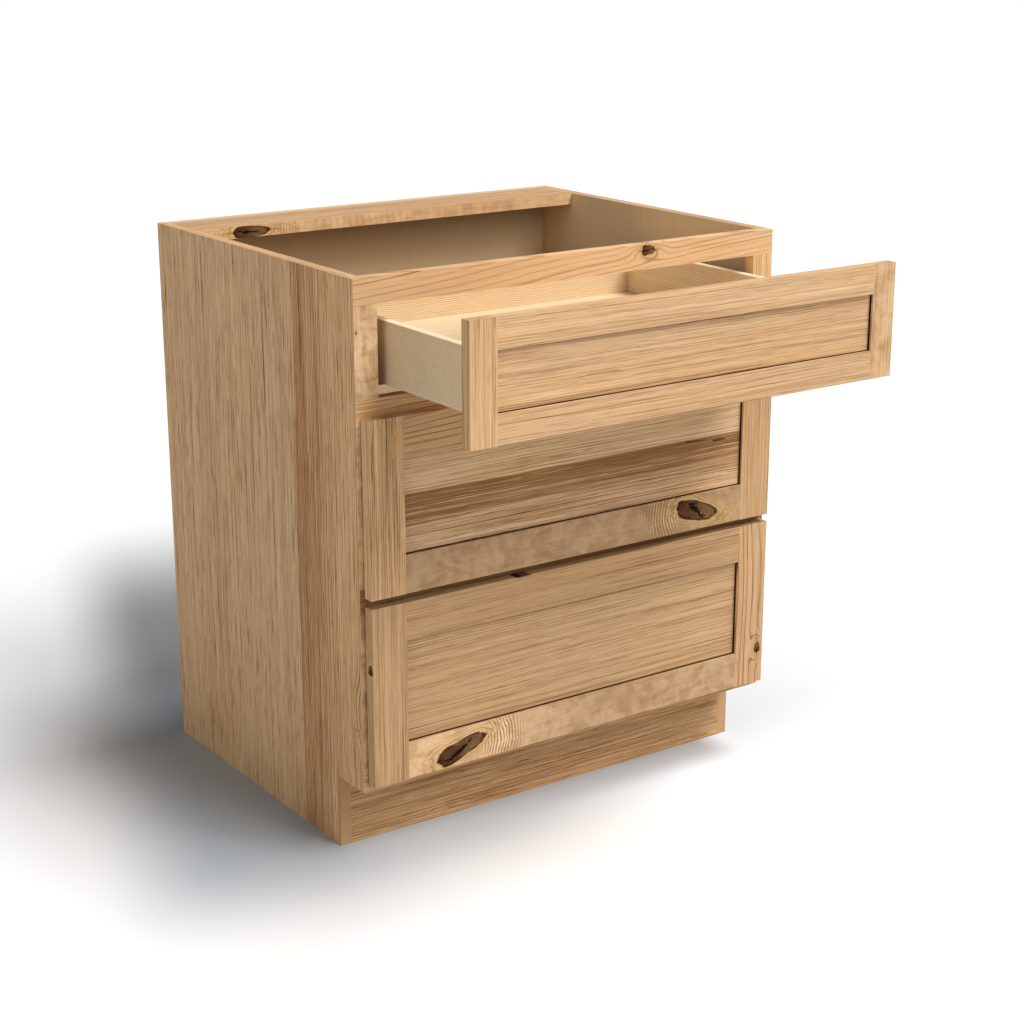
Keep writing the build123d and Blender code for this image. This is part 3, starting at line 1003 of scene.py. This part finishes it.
@dataclass
class Studio:
    """Floor, four broad lights and the camera."""

    floor_reach: float = 14.0
    lights: tuple[SoftLight, ...] = (
        SoftLight("high_light", 66.0, 60.0, 26.0, 0.62),
        SoftLight("key_light", 48.0, 25.0, 26.0, 0.53),
        SoftLight("front_fill", 18.0, 5.0, 44.0, 0.24),
        SoftLight("left_fill", 10.0, -80.0, 44.0, 0.28),
    )
    room_light: float = 0.03
    floor_light: float = 0.55
    # Painted shadow on the floor: the near and behind colours grey the floor round the cabinet and behind
    # it, fading out by the fades below.
    floor_shadow_near: Colour = (0.57, 0.63, 0.69, 1.0)
    floor_shadow_behind: Colour = (0.33, 0.34, 0.35, 1.0)
    behind_fade: tuple[float, float] = (0.05, 0.30)
    floor_far: Colour = (0.97, 0.97, 0.97, 1.0)
    floor_slant: float = 0.35
    left_fade: tuple[float, float] = (-0.60, -0.38)
    front_fade: tuple[float, float] = (-0.74, -0.46)
    back_fade: tuple[float, float] = (1.25, 0.55)
    right_fade: tuple[float, float] = (1.0, 0.1)
    camera_place: tuple[float, float, float] = (-1.74427, -2.94094, 1.36719)
    camera_azimuth: float = 34.92
    camera_dip: float = 16.96
    lens: float = 70.45

    def build(self) -> None:
        """Set up the whole studio."""
        self.lay_floor()
        for light in self.lights:
            light.hang()
        self.fill_room()
        self.stand_camera()
        bpy.context.scene.view_settings.view_transform = "Standard"

    @staticmethod
    def seen(bench: Bench) -> Socket:
        """What the camera sees, itself or in gloss or through glass.

        Args:
            bench: The bench of the tree that asks.

        Returns:
            1 for what is seen and 0 for light.
        """
        rays = bench.add("ShaderNodeLightPath", {}).outputs
        seen = bench.math("MAXIMUM", rays["Is Camera Ray"], rays["Is Glossy Ray"])
        return bench.math("MAXIMUM", seen, rays["Is Transmission Ray"])

    def lay_floor(self) -> None:
        """A wide pale floor with a painted shadow: a little greyer round the cabinet, darker behind it, and
        white further off.
        """
        reach = self.floor_reach
        mesh = bpy.data.meshes.new("studio_floor")
        corners = [(-reach, -reach, 0), (reach, -reach, 0), (reach, reach, 0), (-reach, reach, 0)]
        mesh.from_pydata(corners, [], [(0, 1, 2, 3)])
        floor = bpy.data.objects.new("studio_floor", mesh)
        bpy.context.scene.collection.objects.link(floor)
        material = bpy.data.materials.new("studio_paper")
        material.use_nodes = True
        bench = Bench(material.node_tree)
        material.node_tree.nodes.remove(material.node_tree.nodes["Principled BSDF"])
        plain = bench.add("ShaderNodeBsdfDiffuse", {"Color": (*[self.floor_light] * 3, 1.0)})
        place = bench.add("ShaderNodeTexCoord", {}).outputs["Object"]
        x, y, _ = bench.split(place)
        # Painted shadow: the mask of where the floor is greyed round the cabinet.
        near = bench.step(bench.times_plus(y, -self.floor_slant, x), *self.left_fade)
        near = bench.times(near, bench.step(y, *self.front_fade))
        near = bench.times(near, bench.step(y, *self.back_fade))
        near = bench.times(near, bench.step(x, *self.right_fade))
        painted_floor_shadow = bench.mix(bench.step(y, *self.behind_fade), self.floor_shadow_near, self.floor_shadow_behind)
        tone = bench.mix(near, self.floor_far, painted_floor_shadow)
        white = bench.add("ShaderNodeBsdfDiffuse", {"Color": tone})
        shaders = {0: self.seen(bench), 1: plain.outputs[0], 2: white.outputs[0]}
        mix = bench.add("ShaderNodeMixShader", shaders)
        bench.feed(material.node_tree.nodes["Material Output"].inputs["Surface"], mix.outputs[0])
        mesh.materials.append(material)

    def fill_room(self) -> None:
        """A little light from all round, on a white background."""
        world = bpy.data.worlds.new("studio_room")
        world.use_nodes = True
        bench = Bench(world.node_tree)
        level = bench.math("MAXIMUM", self.room_light, self.seen(bench))
        bench.feed(world.node_tree.nodes["Background"].inputs["Strength"], level)
        world.node_tree.nodes["Background"].inputs["Color"].default_value = (1.0, 1.0, 1.0, 1.0)
        bpy.context.scene.world = world

    def stand_camera(self) -> None:
        """The camera where the photograph was taken from."""
        data = bpy.data.cameras.new("camera")
        data.lens = self.lens
        camera = bpy.data.objects.new("camera", data)
        camera.location = self.camera_place
        turn = -math.radians(self.camera_azimuth)
        camera.rotation_euler = (math.radians(90 - self.camera_dip), 0.0, turn)
        bpy.context.scene.collection.objects.link(camera)
        bpy.context.scene.camera = camera


@dataclass(frozen=True)
class SolidFinish:
    """A small-part finish with its own speckle: metal, plastic or rubber."""

    name: str
    base: Colour
    worn: Colour
    metallic: float
    roughness: float
    speckle: Stretch
    fineness: float = 12.0
    patch: tuple[float, float] = (0.35, 0.65)
    roughness_swing: float = 0.3
    relief: float = 0.02

    def make(self) -> bpy.types.Material:
        """Build the material."""
        material = bpy.data.materials.new(self.name)
        material.use_nodes = True
        bench = Bench(material.node_tree)
        shader = material.node_tree.nodes["Principled BSDF"]
        place = bench.add("ShaderNodeTexCoord", {}).outputs["Object"]
        coarse = bench.noise(place, self.speckle, 2.0)
        fine = bench.noise(place, tuple(self.fineness * lumps for lumps in self.speckle), 2.0)
        patchy = bench.step(coarse, *self.patch)
        bench.feed(shader.inputs["Base Color"], bench.mix(patchy, self.base, self.worn))
        rough = bench.times_plus(bench.minus(fine, 0.5), self.roughness_swing, self.roughness)
        bench.feed(shader.inputs["Roughness"], rough)
        bump = bench.add("ShaderNodeBump", {"Height": fine, "Distance": self.relief * MILLIMETRE})
        bench.feed(shader.inputs["Normal"], bump.outputs[0])
        shader.inputs["Metallic"].default_value = self.metallic
        return material


@dataclass
class SideVeneer:
    """The face veneer of a cabinet side: two leaves joined on one line, run over the face frame's edge."""

    leaf_joint: float = -432.0 * MILLIMETRE
    joint_wander: float = 12.0 * MILLIMETRE
    joint_width: float = 0.7 * MILLIMETRE
    heart_width: float = 150.0 * MILLIMETRE

    def front_leaf(self, painter: BoardPainter, panel: str) -> Surface:
        """Paint the front leaf.

        Args:
            painter: The painter of the piece that the veneer is on.
            panel: The side panel that it belongs to.

        Returns:
            The surface of the leaf.
        """
        eye = Knot(0.243, -0.592, 0.026, 0.009, push=3.6, core=0.0, crack=0.0, halo=0.2, growth=0.8)
        timber = replace(HICKORY.toned(1.17, 1.21, 1.24), ring=0.9, fibre=1.7, pore=1.1)
        hearts = (Heart(self.leaf_joint + self.joint_wander, -self.heart_width, 0.5),)
        finish = BoardFinish(Grain.SIDE, timber, RIFT, 2, knots=(eye,), hearts=hearts)
        return painter.paint(finish, panel)

    def paint(self, painter: BoardPainter, panel: str) -> Surface:
        """Paint both leaves.

        Args:
            painter: The painter of the side panel.
            panel: The side panel.

        Returns:
            The surface of the veneer.
        """
        rear_timber = replace(HICKORY.toned(1.04, 1.12, 1.21), fibre=1.7, pore=1.25)
        rear = painter.paint(BoardFinish(Grain.SIDE, rear_timber, STRAIGHT, 1), panel)
        b = painter.bench
        place = painter.space(panel, Grain.SIDE).place
        line = b.plus(b.drift(place, (2.2, 0.1, 0.1), self.joint_wander, 0.0), self.leaf_joint)
        past_line = b.minus(painter.row_parts[1], line)
        joint = b.step(past_line, self.joint_width, -self.joint_width)
        return painter.over(joint, rear, self.front_leaf(painter, panel))


@dataclass
class Carcass:
    """Sides, back, bottom, stretcher, toe-kick board and the packing strips of the slides."""

    effects: WoodEffects
    board: float = 19.05 * MILLIMETRE
    arris: float = 0.4 * MILLIMETRE
    notch_edge_tone_and_shade: Colour = (0.81, 0.66, 0.55, 1.0)
    glue_stain: Colour = stain(120, 82, 52)
    glue_depth: float = 0.3
    glue_strength: float = 0.55

    def build(self) -> None:
        """Dress every carcass board."""
        self.dress_sides()
        self.dress_back()
        self.dress_stretcher()
        toe_timber = replace(BROWN_HICKORY.toned(1.04, 1.09, 1.12), fibre=3.6, pore=0.8)
        swirl = Knot(-0.185, 0.022, 0.020, 0.006, push=3.0, core=0.0, crack=0.0, growth=0.0, halo=0.1)
        boards = {
            "bottom_panel": BoardFinish(Grain.SHELF, INTERIOR, RIFT, 32),
            "slide_cleats": BoardFinish(Grain.DRAWER_SIDE, INTERIOR, STRAIGHT, 33),
            "toe_kick_board": BoardFinish(Grain.RAIL, toe_timber, RIFT, 34, knots=(swirl,)),
        }
        for node, finish in boards.items():
            painter = BoardPainter(self.effects, node)
            dress(node, painter.finish(painter.paint(finish)), self.arris)

    def dress_sides(self) -> None:
        """Sides with veneer outside, a plain face inside and pale solid edges."""
        veneer = SideVeneer()
        for side in ("left", "right"):
            node = f"side_panel_{side}"
            painter = BoardPainter(self.effects, node)
            b = painter.bench
            outer = veneer.paint(painter, node)
            inner = painter.paint(BoardFinish(Grain.SIDE, INTERIOR, STRAIGHT, 3))
            edge = painter.paint(BoardFinish(Grain.DRAWER_SIDE, HICKORY.toned(0.87, 0.88, 0.90), RIFT, 7))
            low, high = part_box(node)
            face = low.x if side == "left" else high.x
            depth = b.math("ABSOLUTE", b.minus(painter.row_parts[0], face))
            inside = b.step(depth, 0.6 * self.board, 0.7 * self.board)
            surface = painter.over(b.times(inside, painter.looking(Facing.SIDEWAYS)), outer, inner)
            # Forward faces (the toe-notch edges) are tinted darker: partly the edge's own tan colour,
            # partly painted shade in the toe recess.
            notch = {**inner, "Base Color": b.tint(inner["Base Color"], self.notch_edge_tone_and_shade)}
            surface = painter.over(painter.looking(Facing.FORWARD), surface, notch)
            upward = painter.looking(Facing.UP)
            surface = painter.over(upward, surface, edge)
            off_line = b.math("ABSOLUTE", b.minus(depth, self.glue_depth * self.board))
            near = b.step(off_line, 1.2 * MILLIMETRE, 0.2 * MILLIMETRE)
            glue_line = b.times(b.times(near, upward), self.glue_strength)
            surface = painter.stained(glue_line, surface, self.glue_stain)
            dress(node, painter.finish(surface), self.arris)

    def dress_back(self) -> None:
        """The back, with painted shade from the stretcher making its inner face browner and darker near the
        top.
        """
        painter = BoardPainter(self.effects, "back_panel")
        plain = BoardFinish(Grain.STILE, replace(INTERIOR, fibre=0.3, pore=0.0), STRAIGHT, 31)
        # Painted shade: the inner face is darkened under the stretcher and lightened lower down.
        inner = replace(plain, ends=(1.26, 0.74), ends_at=(0.87, 0.965))
        facing_front = painter.looking(Facing.FORWARD)
        surface = painter.over(facing_front, painter.paint(plain), painter.paint(inner))
        dress("back_panel", painter.finish(surface), self.arris)

    def dress_stretcher(self) -> None:
        """The stretcher behind the opening, knotty along its front edge."""
        node = "rear_stretcher"
        knots = (Knot(-0.270, 0.866, 0.030, 0.0088, crack_tilt=-12.0, push=3.0, halo=0.4, tail=0.6),)
        ripples = (
            Ripple(-0.277, 0.866, -0.215, 0.868, 0.060, strength=0.26),
            Ripple(-0.300, 0.840, -0.060, 0.868, 0.120, gap=0.012, strength=0.08),
        )
        painter = BoardPainter(self.effects, node)
        top = painter.paint(BoardFinish(Grain.SHELF, HICKORY.toned(0.76, 0.75, 0.73), RIFT, 35))
        front = painter.paint(BoardFinish(Grain.RAIL, SAPWOOD, FLAT, 36, knots, ripples))
        surface = painter.over(painter.looking(Facing.FRONT_OR_BACK), top, front)
        dress(node, painter.finish(surface), self.arris)


@dataclass
class FaceFrame:
    """Stiles and rails round the drawer openings."""

    effects: WoodEffects
    skin: float = 8.0 * MILLIMETRE
    arris: float = 0.2 * MILLIMETRE

    def looks(self) -> dict[str, BoardFinish]:
        """The finish of each member's face, by node."""
        pin = Knot(0.8017, -0.3770, 0.0024, 0.0018, push=0.8, core=0.6, halo=0.3)
        eye = Knot(0.133, 0.8668, 0.0125, 0.0070, crack_tilt=10.0, push=3.0, halo=0.35, tail=0.8)
        top_rail = replace(HICKORY.toned(1.18, 1.20, 1.24), fibre=0.7, ring=0.5, pore=0.25)
        blotchy = replace(SAPWOOD.toned(0.93, 0.95, 0.97), curl=0.7)
        return {
            "frame_stile_left": BoardFinish(
                Grain.STILE, blotchy, RIFT, 11, knots=(pin,), ends=(0.82, 1.0)
            ),
            "frame_stile_right": BoardFinish(Grain.STILE, HICKORY.toned(1.20, 1.21, 1.20), RIFT, 12),
            "frame_top_rail": BoardFinish(
                Grain.RAIL, top_rail, SLOPING, 13, knots=(eye,), ends=(0.82, 1.0)
            ),
            "frame_upper_mid_rail": BoardFinish(Grain.RAIL, HICKORY.toned(1.15, 1.14, 1.09), RIFT, 14),
            # Painted shade: the lower middle rail is toned dark to stand in for the shadow in the gap
            # between the middle and bottom drawer fronts.
            "frame_lower_mid_rail": BoardFinish(Grain.RAIL, HICKORY.toned(0.46, 0.38, 0.31), RIFT, 15),
            "frame_bottom_rail": BoardFinish(Grain.RAIL, HICKORY, RIFT, 16),
        }

    def build(self) -> None:
        """Dress the six members, with the sides' veneer over their outer edges."""
        veneer = SideVeneer()
        for node, finish in self.looks().items():
            painter = BoardPainter(self.effects, node)
            b = painter.bench
            surface = painter.paint(finish)
            panel = "side_panel_right" if node.endswith("right") else "side_panel_left"
            skin_starts = abs(middle_of(panel).x)
            out = b.math("ABSOLUTE", painter.row_parts[0])
            beyond = b.step(out, skin_starts, skin_starts + self.skin)
            skin = b.times(painter.looking(Facing.SIDEWAYS), beyond)
            surface = painter.over(skin, surface, veneer.front_leaf(painter, panel))
            dress(node, painter.finish(surface), self.arris)


@dataclass
class DrawerFronts:
    """The three framed fronts, with painted shade in the recess round each panel and on their downward
    faces.
    """

    effects: WoodEffects
    corner_reach: float = 3.2 * MILLIMETRE
    border: float = 0.9 * MILLIMETRE
    # Painted shade: the dark colour laid in the recess round each panel and on the members' downward faces.
    recess_shade_colour: Colour = stain(40, 24, 13)
    underside: float = 0.75
    low_stile_timber: Timber = HICKORY.toned(0.84, 0.84, 0.84)
    edge_knot: Knot = Knot(0.310, -0.6240, 0.0075, 0.0062, push=1.0, halo=0.4, growth=0.0)
    arris: float = 0.3 * MILLIMETRE

    def looks(self) -> dict[str, BoardFinish]:
        """The finish of every member of the three fronts, by node."""
        streaky = replace(BROWN_HICKORY.toned(1.30, 1.45, 1.61), fibre=2.8, band=0.4)
        figured = replace(HICKORY, ring=0.6, fibre=1.3, band=0.1)
        smoky = SAPWOOD.toned(0.70, 0.70, 0.72)
        creamy = SAPWOOD.toned(1.0, 1.02, 1.08)
        tan = HICKORY.toned(0.83, 0.85, 0.86)
        gold = HICKORY.toned(0.98, 0.98, 0.97)
        fresh = HICKORY.toned(1.02, 1.04, 1.07)
        brown = replace(HICKORY.toned(1.09, 1.19, 1.31), ring=0.55)
        swirl = Knot(0.6445, -0.3262, 0.014, 0.006, push=4.0, core=0.0, crack=0.0, growth=0.0, halo=0.5)
        hill = Knot(-0.165, 0.474, 0.018, 0.009, push=5.0, core=0.0, crack=0.0, growth=0.6, halo=0.0)
        middle_knot = Knot(0.225, 0.448, 0.040, 0.0145, tilt=-16.0, crack_tilt=-58.0, push=3.0, tail=0.3)
        low_knot = Knot(-0.2218, 0.154, 0.042, 0.0138, tilt=18.0, crack_tilt=36.0, push=3.0, tail=0.15)
        stile_knot = Knot(0.1884, 0.3622, 0.0085, 0.0058, crack_tilt=5.0, push=4.0, tail=0.7)
        edge_crack = Knot(-0.110, 0.4044, 0.0140, 0.0016, tilt=-2.0, push=0.0, halo=0.0, growth=0.0)
        checks = (
            Knot(0.2720, 0.5550, 0.013, 0.0016, push=0.0, halo=0.0, growth=0.0),
            Knot(0.2240, 0.5600, 0.020, 0.0011, tilt=-3.0, push=0.0, halo=0.0, growth=0.0),
        )
        band = Heart(0.5625, -0.090, 0.84)
        middle_ripple = Ripple(0.225, 0.449, 0.160, 0.456, 0.060)
        low_ripple = Ripple(-0.222, 0.154, -0.150, 0.158, 0.055)
        fronts = {
            "top_drawer": {
                "left_stile": BoardFinish(Grain.STILE, gold, RIFT, 41),
                "right_stile": BoardFinish(
                    Grain.STILE, replace(SAPWOOD.toned(0.96, 0.96, 0.97), ring=0.5, fibre=1.4), RIFT, 42
                ),
                "top_rail": BoardFinish(Grain.RAIL, fresh, RIFT, 43),
                "bottom_rail": BoardFinish(Grain.RAIL, HICKORY.toned(0.96, 0.98, 1.03), RIFT, 44),
                "panel": BoardFinish(Grain.RAIL, fresh, STRAIGHT, 45),
            },
            "middle_drawer": {
                "left_stile": BoardFinish(Grain.STILE, streaky, RIFT, 51, knots=(swirl,)),
                "right_stile": BoardFinish(Grain.STILE, HICKORY.toned(0.84, 0.84, 0.82), RIFT, 52),
                "top_rail": BoardFinish(Grain.RAIL, replace(figured, fibre=0.9), SLOPING, 53),
                "bottom_rail": BoardFinish(Grain.RAIL, smoky, FLAT, 54, (middle_knot,), (middle_ripple,)),
                "panel": BoardFinish(Grain.RAIL, brown, STRAIGHT, 55, (hill, *checks), hearts=(band,)),
            },
            "bottom_drawer": {
                "left_stile": BoardFinish(Grain.STILE, self.low_stile_timber, RIFT, 61),
                "right_stile": BoardFinish(
                    Grain.STILE, figured.toned(0.88, 0.88, 0.89), LINED, 62, knots=(stile_knot,)
                ),
                "top_rail": BoardFinish(
                    Grain.RAIL, HICKORY.toned(0.75, 0.75, 0.74), RIFT, 63, knots=(edge_crack,)
                ),
                "bottom_rail": BoardFinish(
                    Grain.RAIL, creamy, FLAT, 64, (low_knot,), (low_ripple,), ends=(1.12, 0.72)
                ),
                "panel": BoardFinish(Grain.RAIL, tan, STRAIGHT, 65),
            },
        }
        return {
            f"{drawer}_front_{member}": finish
            for drawer, members in fronts.items()
            for member, finish in members.items()
        }

    def recess_shade_mask(self, painter: BoardPainter) -> Socket:
        """Where painted shade darkens the recess against the panel.

        Args:
            painter: The member's painter.

        Returns:
            1 in the corner and 0 elsewhere.
        """
        b = painter.bench
        drawer, member = painter.name.split("_front_")
        if member == "panel":
            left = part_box(f"{drawer}_front_left_stile")[1].x
            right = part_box(f"{drawer}_front_right_stile")[0].x
            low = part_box(f"{drawer}_front_bottom_rail")[1].z
            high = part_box(f"{drawer}_front_top_rail")[0].z
            x, _, z = painter.row_parts
            nearest = b.math("MINIMUM", b.minus(x, left), b.minus(right, x))
            for margin in (b.minus(z, low), b.minus(high, z)):
                nearest = b.math("MINIMUM", nearest, margin)
            return b.step(nearest, 1.5 * self.border, 0.5 * self.border)
        inward = {
            "left_stile": Facing.RIGHT,
            "right_stile": Facing.LEFT,
            "bottom_rail": Facing.UP,
            "top_rail": Facing.DOWN,
        }
        panel_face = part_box(f"{drawer}_front_panel")[0].y
        depth = b.minus(panel_face, painter.row_parts[1])
        near = b.step(depth, 1.3 * self.corner_reach, 0.7 * self.corner_reach)
        return b.times(painter.looking(inward[member]), near)

    def build(self) -> None:
        """Dress every member."""
        for node, finish in self.looks().items():
            painter = BoardPainter(self.effects, node)
            b = painter.bench
            surface = painter.stained(self.recess_shade_mask(painter), painter.paint(finish), self.recess_shade_colour)
            # Painted shade on each member's downward faces, where no light reaches from below.
            downward = painter.looking(Facing.DOWN, 0.2, 0.6)
            surface = painter.stained(b.times(downward, self.underside), surface, self.recess_shade_colour)
            if node == "bottom_drawer_front_left_stile":
                knotty = BoardFinish(Grain.SIDE, self.low_stile_timber, RIFT, 67, knots=(self.edge_knot,))
                surface = painter.over(painter.looking(Facing.LEFT), surface, painter.paint(knotty))
            dress(node, painter.finish(surface), self.arris)


@dataclass
class DrawerBoxes:
    """The three birch boxes."""

    effects: WoodEffects
    line_gap: float = 3.1 * MILLIMETRE
    line_strength: float = 0.24
    # Painted shade: the box's left side darkens towards the rear, where the face frame shades it.
    side_shade_ends: tuple[float, float] = (1.03, 0.76)
    top_edge: Colour = stain(252, 232, 196)
    top_edge_strength: float = 0.8
    arris: float = 0.3 * MILLIMETRE

    def build(self) -> None:
        """Dress the walls and bottom of every box."""
        walls = {
            "box_left_side": Grain.DRAWER_SIDE,
            "box_right_side": Grain.DRAWER_SIDE,
            "box_front": Grain.RAIL,
            "box_back": Grain.RAIL,
            "box_bottom": Grain.SHELF,
        }
        seed = 70
        for drawer in DRAWERS:
            for wall, grain in walls.items():
                node = f"{drawer}_{wall}"
                painter = BoardPainter(self.effects, node)
                lined = BoardFinish(
                    grain, BIRCH, STRAIGHT, seed, line_gap=self.line_gap, line_strength=self.line_strength
                )
                # Painted shade towards the rear of the left side.
                if wall == "box_left_side":
                    lined = replace(lined, ends=self.side_shade_ends)
                surface = painter.paint(lined)
                if wall != "box_bottom":
                    upward = painter.looking(Facing.UP, 0.3, 0.8)
                    pale = painter.bench.times(upward, self.top_edge_strength)
                    surface = painter.stained(pale, surface, self.top_edge)
                dress(node, painter.finish(surface), self.arris)
                seed += 1


@dataclass
class Hardware:
    """Slides, locks, screws and bumpers."""

    finishes: tuple[SolidFinish, ...] = (
        SolidFinish("zinc_plate", stain(196, 198, 202), stain(170, 173, 178), 1.0, 0.36, (60, 12, 60)),
        SolidFinish("screw_zinc", stain(202, 200, 192), stain(170, 166, 156), 1.0, 0.32, (220, 220, 220)),
        SolidFinish("grey_nylon", stain(120, 122, 126), stain(110, 112, 116), 0.0, 0.5, (90, 90, 90)),
        SolidFinish("clear_bumper", stain(222, 224, 222), stain(210, 212, 210), 0.0, 0.35, (160, 160, 160)),
    )

    def build(self) -> None:
        """Dress every metal, plastic and rubber piece."""
        zinc, screw, plastic, rubber = (finish.make() for finish in self.finishes)
        dress("slide_fixed_rails", zinc)
        dress("carcass_screws", screw)
        kinds = {
            "slide_rails": zinc,
            "slide_middle_rails": zinc,
            "locks": plastic,
            "screws": screw,
            "bumpers": rubber,
        }
        for drawer in DRAWERS:
            for kind, material in kinds.items():
                dress(f"{drawer}_{kind}", material)


def main() -> None:
    """Dress the cabinet from the carcass out, then set up the studio."""
    logging.basicConfig(level=logging.INFO, format="%(message)s")
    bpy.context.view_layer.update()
    effects = WoodEffects()
    Carcass(effects).build()
    FaceFrame(effects).build()
    DrawerFronts(effects).build()
    DrawerBoxes(effects).build()
    Hardware().build()
    Studio().build()


if __name__ == "__main__":
    main()
